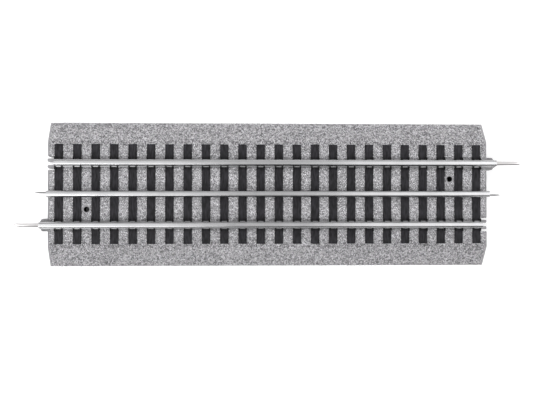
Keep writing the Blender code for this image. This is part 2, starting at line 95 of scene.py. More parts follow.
# Rails
RAIL_Y = (far_low.y + far_high.y) / 2
RAIL_TOP = far_high.z
RAIL_BASE = 13.1 * MM
HEAD_WIDTH = 3.5 * MM
HEAD_HEIGHT = 3.35 * MM
SHEET = 0.3 * MM
OUTER_FOOT_WIDTH = 4.65 * MM
CENTRE_FOOT_WIDTH = 3.6 * MM


def new_object(name, mesh):
    """Link an object that shows the mesh."""
    obj = bpy.data.objects.new(name, mesh)
    bpy.context.scene.collection.objects.link(obj)
    return obj


def mesh_from(bm, name):
    """Turn a bmesh into a mesh with its faces pointing out."""
    bmesh.ops.recalc_face_normals(bm, faces=bm.faces)
    mesh = bpy.data.meshes.new(name)
    bm.to_mesh(mesh)
    bm.free()
    return mesh


def keep(obj, material, slot, *nodes):
    """Give a finished piece its material and body, and hide the CAD nodes it stands for; slot is
    not used.
    """
    obj.data.materials.clear()
    obj.data.materials.append(material)
    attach(obj, BODY)
    if nodes:
        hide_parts(*nodes)


# -------------------------------------------------------------- materials

PLAIN_GREY = (0.37, 0.367, 0.377)
STONE_CELLS = 1450.0                # patches of one grey in a metre
# Painted shade: heights above the stones' floor over which the crevices between stones go from dark
# to the stones' own grey.
CREVICE_SHADE_DEPTH = (0.02 * MM, 0.26 * MM)
# Painted light: the ballast is fully lightened out to the first distance from the track's middle
# and back to its own grey at the second.
PAINTED_LIGHT_BETWEEN_SLEEPERS = (SLEEPER_LENGTH / 2 - 6.0 * MM, SLEEPER_LENGTH / 2 + 2.5 * MM)
FOOT_STRIP = (EDGE_LIP + 0.3 * MM, EDGE_LIP + 0.7 * MM)
FINE_GRAIN = 2600.0
FINE_BUMP = 0.08 * MM
MOULDED_BUMP = 0.04 * MM
WOOD_BUMP = 0.12 * MM
DRAWN_BUMP = 0.02 * MM
COLLAR_EDGE = 0.3 * MM
# Painted shade: radii over which the screw bores turn black.
BORE_SHADE_EDGE = (SCREW_BORE / 2 + 0.05 * MM, SCREW_BORE / 2 + 0.15 * MM)
# Painted shade: heights above the sleeper's top over which the hooks turn blacker.
HOOK_SHADE_FROM = (SLEEPER_TOP + 0.05 * MM, SLEEPER_TOP + 0.35 * MM)


class Nodes:
    """A short way to write a material's node tree."""

    def __init__(self, name):
        self.material = bpy.data.materials.new(name)
        self.material.use_nodes = True
        self.tree = self.material.node_tree
        self.shader = self.tree.nodes["Principled BSDF"]
        self.place = self.add("ShaderNodeTexCoord").outputs["Object"]

    def add(self, kind, **values):
        """Add a node and set its fields, or its inputs' values."""
        node = self.tree.nodes.new(kind)
        for key, value in values.items():
            if key in node.inputs:
                node.inputs[key].default_value = value
            else:
                setattr(node, key, value)
        return node

    def link(self, source, target):
        """Join two sockets."""
        self.tree.links.new(source, target)

    def scaled(self, scale):
        """Return the object's coordinates, stretched."""
        mapping = self.add("ShaderNodeMapping")
        mapping.inputs["Scale"].default_value = scale
        self.link(self.place, mapping.inputs["Vector"])
        return mapping.outputs["Vector"]

    def noise(self, scale, detail, stretch=(1.0, 1.0, 1.0)):
        """Return a noise pattern's value."""
        node = self.add("ShaderNodeTexNoise", Scale=scale, Detail=detail)
        self.link(self.scaled(stretch), node.inputs["Vector"])
        return node.outputs["Fac"]

    def cells(self, scale):
        """Return a random grey for each cell of a cell pattern."""
        node = self.add("ShaderNodeTexVoronoi", Scale=scale)
        self.link(self.place, node.inputs["Vector"])
        grey = self.add("ShaderNodeSeparateColor")
        self.link(node.outputs["Color"], grey.inputs["Color"])
        return grey.outputs["Red"]

    def spread(self, value, low, high, to_low, to_high):
        """Return a value moved from one range to another."""
        node = self.add("ShaderNodeMapRange")
        for key, number in (("From Min", low), ("From Max", high),
                            ("To Min", to_low), ("To Max", to_high)):
            node.inputs[key].default_value = number
        self.link(value, node.inputs["Value"])
        return node.outputs["Result"]

    def blend(self, share, first, second):
        """Return a mix of two colours, given as numbers or as sockets."""
        node = self.add("ShaderNodeMix", data_type="RGBA")
        self.link(share, node.inputs["Factor"])
        for value, socket in ((first, node.inputs[6]), (second, node.inputs[7])):
            if isinstance(value, tuple):
                socket.default_value = (*value, 1.0)
            else:
                self.link(value, socket)
        return node.outputs[2]

    def reckon(self, operation, *values):
        """Return the result of a sum on numbers or sockets."""
        node = self.add("ShaderNodeMath", operation=operation)
        for value, socket in zip(values, node.inputs):
            if isinstance(value, float):
                socket.default_value = value
            else:
                self.link(value, socket)
        return node.outputs["Value"]

    def along(self, axis):
        """Return one of the object's coordinates."""
        place = self.add("ShaderNodeSeparateXYZ")
        self.link(self.place, place.inputs["Vector"])
        return place.outputs[axis]

    def height(self, low, high):
        """Return a share that grows from nought to one between two heights."""
        return self.spread(self.along("Z"), low, high, 0.0, 1.0)

    def beside(self, x, y):
        """Return the distance from an upright line."""
        away = self.add("ShaderNodeVectorMath", operation="SUBTRACT")
        self.link(self.place, away.inputs[0])
        away.inputs[1].default_value = (x, y, 0.0)
        flat = self.add("ShaderNodeVectorMath", operation="MULTIPLY")
        self.link(away.outputs["Vector"], flat.inputs[0])
        flat.inputs[1].default_value = (1.0, 1.0, 0.0)
        length = self.add("ShaderNodeVectorMath", operation="LENGTH")
        self.link(flat.outputs["Vector"], length.inputs[0])
        return length.outputs["Value"]

    def bump(self, height, strength, distance):
        """Feed a height to the shader's normal."""
        node = self.add("ShaderNodeBump", Strength=strength, Distance=distance)
        self.link(height, node.inputs["Height"])
        self.link(node.outputs["Normal"], self.shader.inputs["Normal"])

    def feed(self, name, value):
        """Set one input of the shader, or link it."""
        if isinstance(value, (float, tuple)):
            self.shader.inputs[name].default_value = value
        else:
            self.link(value, self.shader.inputs[name])


def ballast_material():
    """Stones in light and dark greys with painted shade in the crevices between them, plain along
    the roadbed's edges.

    As painted light, they are lighter between the sleepers than beyond them, to make up for the
    shade that the sleepers and rails cast on the crown.
    """
    made = Nodes("ballast_stones")
    across = made.reckon("ABSOLUTE", made.along("Y"))
    surface = made.spread(across, HALF_CROWN, HALF_BASE, BALLAST_TOP, EDGE_LIP)
    rise = made.reckon("SUBTRACT", made.along("Z"), surface)
    # Painted light: deck is the share of lightening, full between the sleepers' ends, standing in
    # for light lost to the shade of the sleepers and rails.
    deck = made.spread(across, *PAINTED_LIGHT_BETWEEN_SLEEPERS, 1.0, 0.0)
    crevice_shade = made.blend(deck, (0.035, 0.034, 0.037), (0.09, 0.088, 0.093))
    dark = made.blend(deck, (0.14, 0.138, 0.143), (0.33, 0.326, 0.338))
    light = made.blend(deck, (0.73, 0.72, 0.745), (0.95, 0.94, 0.97))
    stones = made.blend(made.cells(STONE_CELLS), dark, light)
    # Painted shade: the stones are darkened towards the crevices between them.
    tone = made.blend(made.spread(rise, *CREVICE_SHADE_DEPTH, 0.0, 1.0), crevice_shade, stones)
    end = made.spread(made.reckon("ABSOLUTE", made.along("X")),
                      HALF_LENGTH - SMOOTH_END, HALF_LENGTH - SMOOTH_END / 2, 0.0, 1.0)
    foot = made.spread(made.along("Z"), *FOOT_STRIP, 1.0, 0.0)
    tone = made.blend(made.reckon("MAXIMUM", end, foot), tone, PLAIN_GREY)
    made.feed("Base Color", tone)
    made.feed("Roughness", made.spread(made.noise(900.0, 2.0), 0.3, 0.7, 0.62, 0.82))
    made.feed("Specular IOR Level", 0.35)
    made.bump(made.noise(FINE_GRAIN, 3.0), 0.5, FINE_BUMP)
    return made.material


def roadbed_material():
    """Plain grey plastic of the end walls and the underside, with painted shade: black inside the
    screw bores.
    """
    made = Nodes("roadbed_grey")
    tone = made.blend(made.spread(made.noise(900.0, 3.0), 0.3, 0.7, 0.0, 1.0),
                      (0.34, 0.337, 0.347), (0.40, 0.397, 0.408))
    screw = made.reckon("MINIMUM", made.beside(SCREW_X, SCREW_Y), made.beside(-SCREW_X, -SCREW_Y))
    collar = SCREW_COLLAR / 2
    tone = made.blend(made.spread(screw, collar, collar + COLLAR_EDGE, 0.0, 1.0),
                      (0.33, 0.327, 0.338), tone)
    # Painted shade: the inside of each screw bore is painted black.
    tone = made.blend(made.spread(screw, *BORE_SHADE_EDGE, 0.0, 1.0), (0.008, 0.008, 0.008), tone)
    made.feed("Base Color", tone)
    made.feed("Roughness", 0.62)
    made.feed("Specular IOR Level", 0.35)
    made.bump(made.noise(1800.0, 3.0), 0.3, MOULDED_BUMP)
    return made.material


def sleeper_material():
    """Black plastic with a faint grain along the sleeper, and painted shade that makes the hooks
    blacker.
    """
    made = Nodes("sleeper_black")
    grain = made.noise(1.0, 4.0, (1100.0, 240.0, 400.0))
    colour = made.blend(made.spread(grain, 0.35, 0.65, 0.0, 1.0),
                        (0.002, 0.0018, 0.003), (0.026, 0.0245, 0.0295))
    # Painted shade: everything above the sleeper's top, the hooks, is painted blacker.
    hook = made.height(*HOOK_SHADE_FROM)
    made.feed("Base Color", made.blend(hook, colour, (0.003, 0.003, 0.0035)))
    made.feed("Roughness", made.spread(grain, 0.3, 0.7, 0.5, 0.68))
    made.feed("Specular IOR Level", 0.25)
    made.bump(grain, 0.5, WOOD_BUMP)
    return made.material


def metal_material(name, colour, roughness, painted_shade_below=None):
    """Metal with fine drawing lines along X.

    The last argument, if given, holds two heights, between which the metal turns bright, and how
    dark it is below them beside its bright colour: painted shade on the lower parts of the metal.
    """
    streak = 0.08
    made = Nodes(name)
    lines = made.noise(1.0, 4.0, (18.0, FINE_GRAIN, FINE_GRAIN))
    patches = made.noise(90.0, 3.0)
    darker = tuple(0.88 * value for value in colour)
    tone = made.blend(made.spread(patches, 0.35, 0.7, 0.0, 1.0), colour, darker)
    if painted_shade_below:
        low, high, share = painted_shade_below
        dim = tuple(share * value for value in colour)
        # Painted shade: below the two heights the metal's colour is darkened.
        tone = made.blend(made.height(low, high), dim, tone)
    made.feed("Base Color", tone)
    made.feed("Metallic", 1.0)
    made.feed("Roughness", made.spread(lines, 0.3, 0.7, roughness - streak, roughness + streak))
    made.bump(lines, 0.25, DRAWN_BUMP)
    return made.material


# ------------------------------------------------------------ stone skins

STONE_HEIGHT = (0.22 * MM, 0.58 * MM)
STONE_TILT = 0.75                   # steepest lean of a stone's top
STONE_SHRINK = (0.50, 0.70)         # size of a stone's top beside its foot
STONE_SPACING = 1.02 * MM
STONE_JITTER = 0.36                 # of the spacing
STONE_MARGIN = 0.12                 # of the spacing, kept clear along the edges
STONE_WELD = 0.09                   # of the spacing
MIRROR_REACH = 2.5                  # spacings
FOOT_ROUGHNESS = 0.05 * MM
TOP_ROUGHNESS = 0.05 * MM
LEAST_HEIGHT = 0.07 * MM
TOP_LIFT = 0.004 * MM


def jittered_sites(low, high, spacing, generator):
    """Return loosely packed places in a rectangle, one for each stone."""
    row_height = spacing * math.sqrt(3.0) / 2
    rows = round((high[1] - low[1]) / row_height)
    columns = round((high[0] - low[0]) / spacing)
    step = np.array(((high[0] - low[0]) / columns, (high[1] - low[1]) / rows))
    column, row = np.meshgrid(np.arange(columns), np.arange(rows), indexing="ij")
    across = column + 0.5 + 0.5 * (row % 2) - 0.25
    places = np.stack((across.ravel(), row.ravel() + 0.5), axis=1)
    places += generator.uniform(-STONE_JITTER, STONE_JITTER, places.shape)
    margin = STONE_MARGIN * step
    return np.clip(np.array(low) + places * step, np.array(low) + margin, np.array(high) - margin)


def mirrored_past_edges(sites, low, high, reach):
    """Add mirror images past the rectangle's edges, so that cells end straight on them."""
    everything = sites
    for axis in (0, 1):
        images = []
        for edge in (low[axis], high[axis]):
            near = everything[np.abs(everything[:, axis] - edge) < reach].copy()
            near[:, axis] = 2 * edge - near[:, axis]
            images.append(near)
        everything = np.concatenate((everything, *images))
    return everything


def cell_corners(sites, count, weld):
    """Return the cells' corner places, and each cell's ring of corners.

    The corners are the centres of the circles round the Delaunay triangles.
    Corners closer than the weld distance become one.
    """
    made = delaunay_2d_cdt([Vector(site) for site in sites], [], [], 0, 1e-9, True)
    points = np.array([tuple(vertex) for vertex in made[0]])
    triangles = np.array(made[2])
    site_of = np.array([ids[0] if ids else -1 for ids in made[3]])
    a, b, c = (points[triangles[:, corner]] for corner in range(3))
    ab, ac = b - a, c - a
    cross = 2 * (ab[:, 0] * ac[:, 1] - ab[:, 1] * ac[:, 0])
    ab_length, ac_length = (ab ** 2).sum(1), (ac ** 2).sum(1)
    centre = np.stack((ac[:, 1] * ab_length - ab[:, 1] * ac_length,
                       ab[:, 0] * ac_length - ac[:, 0] * ab_length), axis=1)
    centre = a + centre / cross[:, None]

    keys = np.round(centre / weld).astype(np.int64)
    _, first, welded = np.unique(keys, axis=0, return_index=True, return_inverse=True)
    corners = centre[first]
    welded = welded.ravel()

    owner = site_of[triangles.ravel()]
    corner = np.repeat(welded, 3)
    inside = (owner >= 0) & (owner < count)
    owner, corner = owner[inside], corner[inside]
    offset = corners[corner] - sites[owner]
    angle = np.arctan2(offset[:, 1], offset[:, 0])
    order = np.lexsort((angle, owner))
    owner, corner = owner[order], corner[order]
    starts = np.searchsorted(owner, np.arange(count + 1))
    rings = []
    for index in range(count):
        ring = []
        for value in corner[starts[index]:starts[index + 1]]:
            if not ring or ring[-1] != value:
                ring.append(int(value))
        if len(ring) > 1 and ring[0] == ring[-1]:
            ring.pop()
        rings.append(ring)
    return corners, rings


def rim_sides(flat, rings, low, high):
    """Return the corners along the skin's four edges, walked round from the low corner."""
    following = {}
    for ring in rings:
        for start, end in zip(ring, ring[1:] + ring[:1]):
            following[(start, end)] = True
    after = {start: end for start, end in following if (end, start) not in following}
    ends = []
    for place in (low, (high[0], low[1]), high, (low[0], high[1])):
        rim = np.array(list(after))
        distance = np.abs(flat[rim] - np.array(place)).sum(axis=1)
        ends.append(int(rim[np.argmin(distance)]))
    sides = []
    for index, start in enumerate(ends):
        line = [start]
        while line[-1] != ends[(index + 1) % len(ends)]:
            line.append(after[line[-1]])
        sides.append(line)
    return sides


def stone_skin(name, low, high, place, relief, floor, seed, spacing=STONE_SPACING):
    """Make a closed skin of moulded stones over a rectangle of surface coordinates.

    place maps coordinates and a height to a point, relief gives how much of
    the full height a stone has, and floor lists the skin's underside as
    (coordinate across, depth), from one long edge to the other.
    """
    generator = np.random.default_rng(seed)
    sites = jittered_sites(low, high, spacing, generator)
    count = len(sites)
    everything = mirrored_past_edges(sites, low, high, MIRROR_REACH * spacing)
    corners, rings = cell_corners(everything, count, STONE_WELD * spacing)

    used = sorted({corner for ring in rings for corner in ring})
    renumber = {corner: index for index, corner in enumerate(used)}
    rings = [[renumber[corner] for corner in ring] for ring in rings]
    flat = corners[used]
    sides = rim_sides(flat, rings, low, high)
    for axis, edge, line in ((1, low[1], sides[0]), (0, high[0], sides[1]),
                             (1, high[1], sides[2]), (0, low[0], sides[3])):
        flat[line, axis] = edge
    points = [place(flat, generator.uniform(0.0, FOOT_ROUGHNESS, len(flat)) * relief(flat))]
    faces = []
    total = len(flat)
    top_height = generator.uniform(*STONE_HEIGHT, count)
    tilt = generator.uniform(-STONE_TILT, STONE_TILT, (count, 2))
    shrink = generator.uniform(*STONE_SHRINK, count)
    for index, ring in enumerate(rings):
        if len(ring) < 3:
            continue
        outer = flat[ring]
        middle = outer.mean(axis=0)
        inner = middle + (outer - middle) * shrink[index]
        inner += generator.uniform(-TOP_ROUGHNESS, TOP_ROUGHNESS, inner.shape)
        share = relief(middle[None])[0]
        height = top_height[index] + (inner - middle) @ tilt[index]
        height = np.maximum(height, LEAST_HEIGHT) * share + TOP_LIFT
        points.append(place(inner, height))
        size = len(ring)
        top = list(range(total, total + size))
        total += size
        for step in range(size):
            after = (step + 1) % size
            faces.append((ring[step], ring[after], top[after], top[step]))
        faces.append(tuple(top))
    points = np.concatenate(points)

    # The underside: one line of points under each end, joined by long quads
    bottom = []
    for x in (low[0], high[0]):
        under = np.array([(x, across) for across, _ in floor])
        bottom.append(place(under, -np.array([depth for _, depth in floor])))
    under_left = [total + index for index in range(len(floor))]
    under_right = [total + len(floor) + index for index in range(len(floor))]
    points = np.concatenate((points, *bottom))
    near, right, far, left = sides
    faces.append((*reversed(near), under_left[0], under_right[0]))
    faces.append((*reversed(right), *under_right))
    faces.append((*reversed(far), under_right[-1], under_left[-1]))
    faces.append((*reversed(left), *reversed(under_left)))
    for index in range(len(floor) - 1):
        faces.append((under_left[index], under_left[index + 1],
                      under_right[index + 1], under_right[index]))
    mesh = bpy.data.meshes.new(name)
    mesh.from_pydata(points.tolist(), [], faces)
    return new_object(name, mesh)


def prism(bm, outline, low, high):
    """Add an upright prism over an outline in the XY plane."""
    bottom = [bm.verts.new((x, y, low)) for x, y in outline]
    top = [bm.verts.new((x, y, high)) for x, y in outline]
    for index in range(len(outline)):
        after = (index + 1) % len(outline)
        bm.faces.new((bottom[index], bottom[after], top[after], top[index]))
    bm.faces.new(bottom)
    bm.faces.new(top)


def rectangle(x_range, y_range):
    """Return a rectangle's outline."""
    (x0, x1), (y0, y1) = x_range, y_range
    return ((x0, y0), (x1, y0), (x1, y1), (x0, y1))


def slab(bm, outline, low, high):
    """Add a prism along X over an outline in the YZ plane."""
    first = [bm.verts.new((low, y, z)) for y, z in outline]
    second = [bm.verts.new((high, y, z)) for y, z in outline]
    for index in range(len(outline)):
        after = (index + 1) % len(outline)
        bm.faces.new((first[index], first[after], second[after], second[index]))
    bm.faces.new(first)
    bm.faces.new(second)


def centred(middle, width):
    """Return the range of a width about its middle."""
    return middle - width / 2, middle + width / 2


def arc(centre, radius, start, end, steps):
    """Return points along an arc between two angles in degrees."""
    angles = np.radians(np.linspace(start, end, steps + 1))
    return [(centre[0] + radius * math.cos(angle), centre[1] + radius * math.sin(angle))
            for angle in angles]


def turned(outline):
    """Return an outline turned half a turn about the middle of the track."""
    return [(-x, -y) for x, y in outline]


def combine(obj, tool, operation):
    """Apply a boolean with a tool object, and remove the tool."""
    modifier = obj.modifiers.new("combine", "BOOLEAN")
    modifier.operation = operation
    modifier.solver = "MANIFOLD"
    modifier.object = tool
    graph = bpy.context.evaluated_depsgraph_get()
    mesh = bpy.data.meshes.new_from_object(obj.evaluated_get(graph))
    obj.modifiers.clear()
    obj.data = mesh
    bpy.data.objects.remove(tool, do_unlink=True)


TRIM_HEIGHTS = (-5.0 * MM, 30.0 * MM)


def trim(obj, outlines, operation):
    """Cut upright prisms out of a skin, or keep only what lies in them."""
    bm = bmesh.new()
    for outline in outlines:
        prism(bm, outline, *TRIM_HEIGHTS)
    combine(obj, new_object("prisms", mesh_from(bm, "prisms")), operation)


SHOULDER_RUN = HALF_BASE - HALF_CROWN
SHOULDER_RISE = BALLAST_TOP - EDGE_LIP
SHOULDER_LENGTH = math.hypot(SHOULDER_RUN, SHOULDER_RISE)
CREST_BLEND = 1.2 * MM              # distance over which the normal turns at the crest


def over_roadbed(flat, height):
    """Map (along, across the surface) and a height to a point over the roadbed."""
    x, v = flat[:, 0], flat[:, 1]
    side = np.where(v < 0, -1.0, 1.0)
    past = np.abs(v) - HALF_CROWN
    down = np.clip(past, 0.0, None)
    y = side * (np.minimum(np.abs(v), HALF_CROWN) + down * SHOULDER_RUN / SHOULDER_LENGTH)
    z = BALLAST_TOP - down * SHOULDER_RISE / SHOULDER_LENGTH
    turn = np.clip(past / CREST_BLEND + 0.5, 0.0, 1.0) * math.atan2(SHOULDER_RISE, SHOULDER_RUN)
    return np.stack((x, y + side * np.sin(turn) * height, z + np.cos(turn) * height), axis=1)


def relief_over_roadbed(flat):
    """Return how high the stones stand: low in the plain strips round the shoulders."""
    from_end = (HALF_LENGTH - np.abs(flat[:, 0])) / SMOOTH_END
    on_shoulder = np.clip((np.abs(flat[:, 1]) - HALF_CROWN) / (1.0 * MM), 0.0, 1.0)
    end = np.clip(from_end, 0.12, 1.0)
    end = 1.0 - on_shoulder * (1.0 - end)
    foot = np.clip((HALF_CROWN + SHOULDER_LENGTH - np.abs(flat[:, 1])) / SMOOTH_FOOT, 0.1, 1.0)
    return np.minimum(end, foot)


def socket_outline():
    """Return the plan of the socket at the +X end, a little over its size."""
    low, high = centred(-RAIL_Y, SOCKET_WIDTH + 0.06 * MM)
    flare = SOCKET_MOUTH_RADIUS
    outside = HALF_LENGTH + 1.0 * MM
    return [(SOCKET_BACK - 0.03 * MM, low),
            *arc((HALF_LENGTH - flare, low - flare), flare, 90.0, 0.0, 6),
            (outside, low - flare), (outside, high + flare),
            *arc((HALF_LENGTH - flare, high + flare), flare, 0.0, -90.0, 6),
            (SOCKET_BACK - 0.03 * MM, high)]


def build_ballast(material):
    """Lay the stones over the crown and both shoulders."""
    half_width = HALF_CROWN + SHOULDER_LENGTH
    inset = 0.03 * MM
    low = (-HALF_LENGTH + inset, -half_width + inset)
    high = (HALF_LENGTH - inset, half_width - inset)
    floor = ((low[1], 0.3 * MM), (-HALF_CROWN, 0.4 * MM), (HALF_CROWN, 0.4 * MM),
             (high[1], 0.3 * MM))
    whole = stone_skin("ballast", low, high, over_roadbed, relief_over_roadbed, floor, 11)
    beyond = 10.0 * MM
    ends = (-HALF_LENGTH - beyond, HALF_LENGTH + beyond)
    parts = (("ballast_crown", (-HALF_CROWN, HALF_CROWN)),
             ("ballast_shoulder_near", (-HALF_BASE - beyond, -HALF_CROWN)),
             ("ballast_shoulder_far", (HALF_CROWN, HALF_BASE + beyond)))
    for name, across in parts:
        part = new_object(name, whole.data.copy())
        trim(part, [rectangle(ends, across)], "INTERSECT")
        if name == "ballast_crown":
            gap = 0.03 * MM
            cuts = []
            for index in range(SLEEPER_COUNT):
                x = FIRST_SLEEPER + index * SLEEPER_PITCH
                cuts.append(rectangle(centred(x, SLEEPER_WIDTH + 2 * gap),
                                      centred(0.0, SLEEPER_LENGTH + 2 * gap)))
            collar = arc((SCREW_X, SCREW_Y), SCREW_COLLAR / 2 + gap, 0.0, 360.0, 48)[:-1]
            cuts += [collar, turned(collar), socket_outline(), turned(socket_outline())]
            trim(part, cuts, "DIFFERENCE")
        part.data.shade_flat()
        keep(part, material, "ballast")
    bpy.data.objects.remove(whole, do_unlink=True)


def build_tongue_stones(material):
    """Lay stones on the tongues."""
    inset = 0.02 * MM
    edge = TONGUE_WIDTH / 2 - inset
    low = (HALF_LENGTH + 0.02 * MM, RAIL_Y - edge)
    high = (HALF_LENGTH + TONGUE_LENGTH - inset, RAIL_Y + edge)

    def over_tongue(flat, height):
        return np.stack((flat[:, 0], flat[:, 1], TONGUE_TOP + height), axis=1)

    def relief(flat):
        return np.full(len(flat), 0.8)

    floor = ((low[1], 0.3 * MM), (high[1], 0.3 * MM))
    radius = TONGUE_RADIUS - inset
    outline = [(low[0] - 1.0 * MM, low[1]),
               *arc((high[0] - radius, low[1] + radius), radius, -90.0, 0.0, 10),
               *arc((high[0] - radius, high[1] - radius), radius, 0.0, 90.0, 10),
               (low[0] - 1.0 * MM, high[1])]
    for name, turn in (("ballast_tongue_right", 0.0), ("ballast_tongue_left", math.pi)):
        part = stone_skin(name, low, high, over_tongue, relief, floor, 5 + round(turn))
        trim(part, [outline], "INTERSECT")
        part.data.transform(Matrix.Rotation(turn, 4, "Z"))
        part.data.shade_flat()
        keep(part, material, "ballast")


# ------------------------------------------------------------------ rails

FOOT_EDGE = 0.4 * MM
FOOT_RISE = 0.15 * MM
WEB_WIDTH = 1.0 * MM
HEAD_RADIUS = 1.1 * MM
HEAD_LOWER_RADIUS = 0.55 * MM
HOLLOW_RADIUS = 0.85 * MM
SEAM = 0.06 * MM                    # gap between the web's two sheets
FILLET = 0.3 * MM
END_CHAMFER = 0.12 * MM


def rail_outline(foot_width):
    """Return the section of a folded sheet rail, open along the seam in its web."""
    foot = foot_width / 2
    web = WEB_WIDTH / 2
    head = HEAD_WIDTH / 2
    head_bottom = RAIL_TOP - HEAD_HEIGHT
    foot_top = RAIL_BASE + FOOT_EDGE
    edge = FOOT_EDGE / 2
    low = HEAD_LOWER_RADIUS
    inner = head - SHEET
    roof = RAIL_TOP - SHEET
    ground = head_bottom + SHEET
    curve = HOLLOW_RADIUS
    seam = SEAM / 2
    right = [(seam, RAIL_BASE),
             *arc((foot - edge, RAIL_BASE + edge), edge, -90.0, 90.0, 6),
             *arc((web + FILLET, foot_top + FOOT_RISE + FILLET), FILLET, -90.0, -180.0, 4),
             *arc((web + FILLET, head_bottom - FILLET), FILLET, 180.0, 90.0, 4),
             *arc((head - low, head_bottom + low), low, -90.0, 0.0, 6),
             *arc((head - HEAD_RADIUS, RAIL_TOP - HEAD_RADIUS), HEAD_RADIUS, 0.0, 90.0, 12)]
    hollow = [*arc((inner - curve, roof - curve), curve, 90.0, 0.0, 8),
              *arc((inner - low, ground + low), low, 0.0, -90.0, 4),
              (seam, ground)]
    return right, hollow


def sweep_rail(name, y, x_range, foot_width):
    """Make a rail by running its section along X, with chamfered ends."""
    right, hollow = rail_outline(foot_width)
    left = [(-v, z) for v, z in reversed(right)]
    hollow_left = [(-v, z) for v, z in reversed(hollow)]
    outside = [*right, *left]
    inside = [*hollow_left, *hollow]
    section = [*outside, *inside]
    middle = (0.0, RAIL_TOP - HEAD_HEIGHT / 2)

    def shrunk(point):
        away = Vector((point[0] - middle[0], point[1] - middle[1]))
        if not away.length:
            return point
        away.length = max(away.length - 0.5 * END_CHAMFER, 0.0)
        return away.x, middle[1] + away.y

    stations = [(x_range[0], True), (x_range[0] + END_CHAMFER, False),
                (x_range[1] - END_CHAMFER, False), (x_range[1], True)]
    bm = bmesh.new()
    rings = []
    for x, chamfered in stations:
        ring = []
        for index, point in enumerate(section):
            moves = chamfered and index < len(outside) and point[1] > RAIL_TOP - HEAD_HEIGHT
            v, z = shrunk(point) if moves else point
            ring.append(bm.verts.new((x, y + v, z)))
        rings.append(ring)
    count = len(section)
    for ring, following in zip(rings, rings[1:]):
        for index in range(count):
            after = (index + 1) % count
            bm.faces.new((ring[index], ring[after], following[after], following[index]))
    bm.faces.new(rings[0])
    bm.faces.new(rings[-1])
    bmesh.ops.triangulate(bm, faces=[face for face in bm.faces if len(face.verts) > 4])
    return new_object(name, mesh_from(bm, name))


TAB_LENGTH = 3.4 * MM
TAB_THICKNESS = 0.9 * MM
TAB_FLANGE = 2.4 * MM
TAB_FLANGE_THICKNESS = 0.4 * MM
TAB_BEND = 0.35 * MM
TAB_ROOT = 0.2 * MM                 # how far a tab reaches into its rail
OUTER_TABS_X = tuple(side * x * MM for x in (31.5, 73.5, 115.5) for side in (-1, 1))
CENTRE_TABS_X = tuple(side * x * MM for x in (10.5, 52.5, 94.5) for side in (-1, 1))
CLAMPING_X = (115.5 * MM, 94.5 * MM)
DECK_UNDERSIDE = 9.6 * MM
GAP = 0.3 * MM
PLATE = 0.4 * MM                    # thickness of the sheet metal under the deck


def tab_outline(side, holds_plate):
    """Return a bent tab's section across the track."""
    top = RAIL_BASE + TAB_ROOT
    flange_top = DECK_UNDERSIDE - GAP - (PLATE + GAP if holds_plate else 0.0)
    bottom = flange_top - TAB_FLANGE_THICKNESS
    half = TAB_THICKNESS / 2
    edge = TAB_FLANGE_THICKNESS / 2
    outline = [(-half, top),
               *arc((-half + TAB_BEND, bottom + TAB_BEND), TAB_BEND, 180.0, 270.0, 4),
               *arc((TAB_FLANGE - edge, bottom + edge), edge, -90.0, 90.0, 4),
               (half, flange_top), (half, top)]
    return [(side * v, z) for v, z in outline]


def add_tabs(rail, y, tabs):
    """Unite the tabs with a rail."""
    bm = bmesh.new()
    for x, side in tabs:
        outline = tab_outline(side, any(abs(abs(x) - place) < GAP for place in CLAMPING_X))
        slab(bm, [(y + v, z) for v, z in outline], *centred(x, TAB_LENGTH))
    tool = new_object("tabs", mesh_from(bm, "tabs"))
    combine(rail, tool, "UNION")


def smooth(obj, angle):
    """Shade smooth, with creases where the faces turn more than an angle in degrees."""
    obj.data.shade_smooth()
    obj.data.set_sharp_from_angle(angle=math.radians(angle))


def build_rails(material):
    """Make the three rails with their tabs."""
    rows = (("far", far_low, far_high, 1), ("near", near_low, near_high, -1))
    for name, low, high, side in rows:
        y = (low.y + high.y) / 2
        rail = sweep_rail(f"plated_rail_{name}", y, (low.x, high.x), OUTER_FOOT_WIDTH)
        add_tabs(rail, y, [(x, side) for x in OUTER_TABS_X])
        smooth(rail, 30.0)
        keep(rail, material, "rail", f"rail_outer_{name}")
    rail = sweep_rail("plated_rail_centre", 0.0, (mid_low.x, mid_high.x), CENTRE_FOOT_WIDTH)
    add_tabs(rail, 0.0, [(x, 1 if x > 0 else -1) for x in CENTRE_TABS_X])
    smooth(rail, 30.0)
    keep(rail, material, "rail", "rail_centre")


# ---------------------------------------------------------------- pins

PIN_RADIUS = 1.15 * MM
PIN_SHANK_RADIUS = 1.05 * MM
PIN_GROOVE_RADIUS = 0.85 * MM
PIN_NOSE = 4.0 * MM
PIN_NOSE_SHIFT = 0.55 * MM          # the nose leans towards the middle of the track
PIN_NOSE_STEPS = 16
PIN_SIDES = 40


def pin_profile(inner, shoulder, tip):
    """Return the turned profile of a pin: place along X and radius."""
    shank, groove = PIN_SHANK_RADIUS, PIN_GROOVE_RADIUS
    waist = inner + 0.25 * (tip - inner)
    profile = [(inner, 0.75 * shank), (inner + 0.1 * MM, 0.92 * shank), (inner + 0.25 * MM, shank),
               (waist - 0.9 * MM, shank), (waist - 0.5 * MM, groove),
               (waist + 0.5 * MM, groove), (waist + 0.9 * MM, shank),
               (shoulder, shank), (shoulder + 0.02 * MM, 0.97 * PIN_RADIUS),
               (shoulder + 0.08 * MM, PIN_RADIUS), (tip - PIN_NOSE, PIN_RADIUS)]
    for step in range(1, PIN_NOSE_STEPS):
        part = math.sin(0.5 * math.pi * step / PIN_NOSE_STEPS)
        profile.append((tip - PIN_NOSE + PIN_NOSE * part, PIN_RADIUS * math.sqrt(1 - part ** 2)))
    return profile


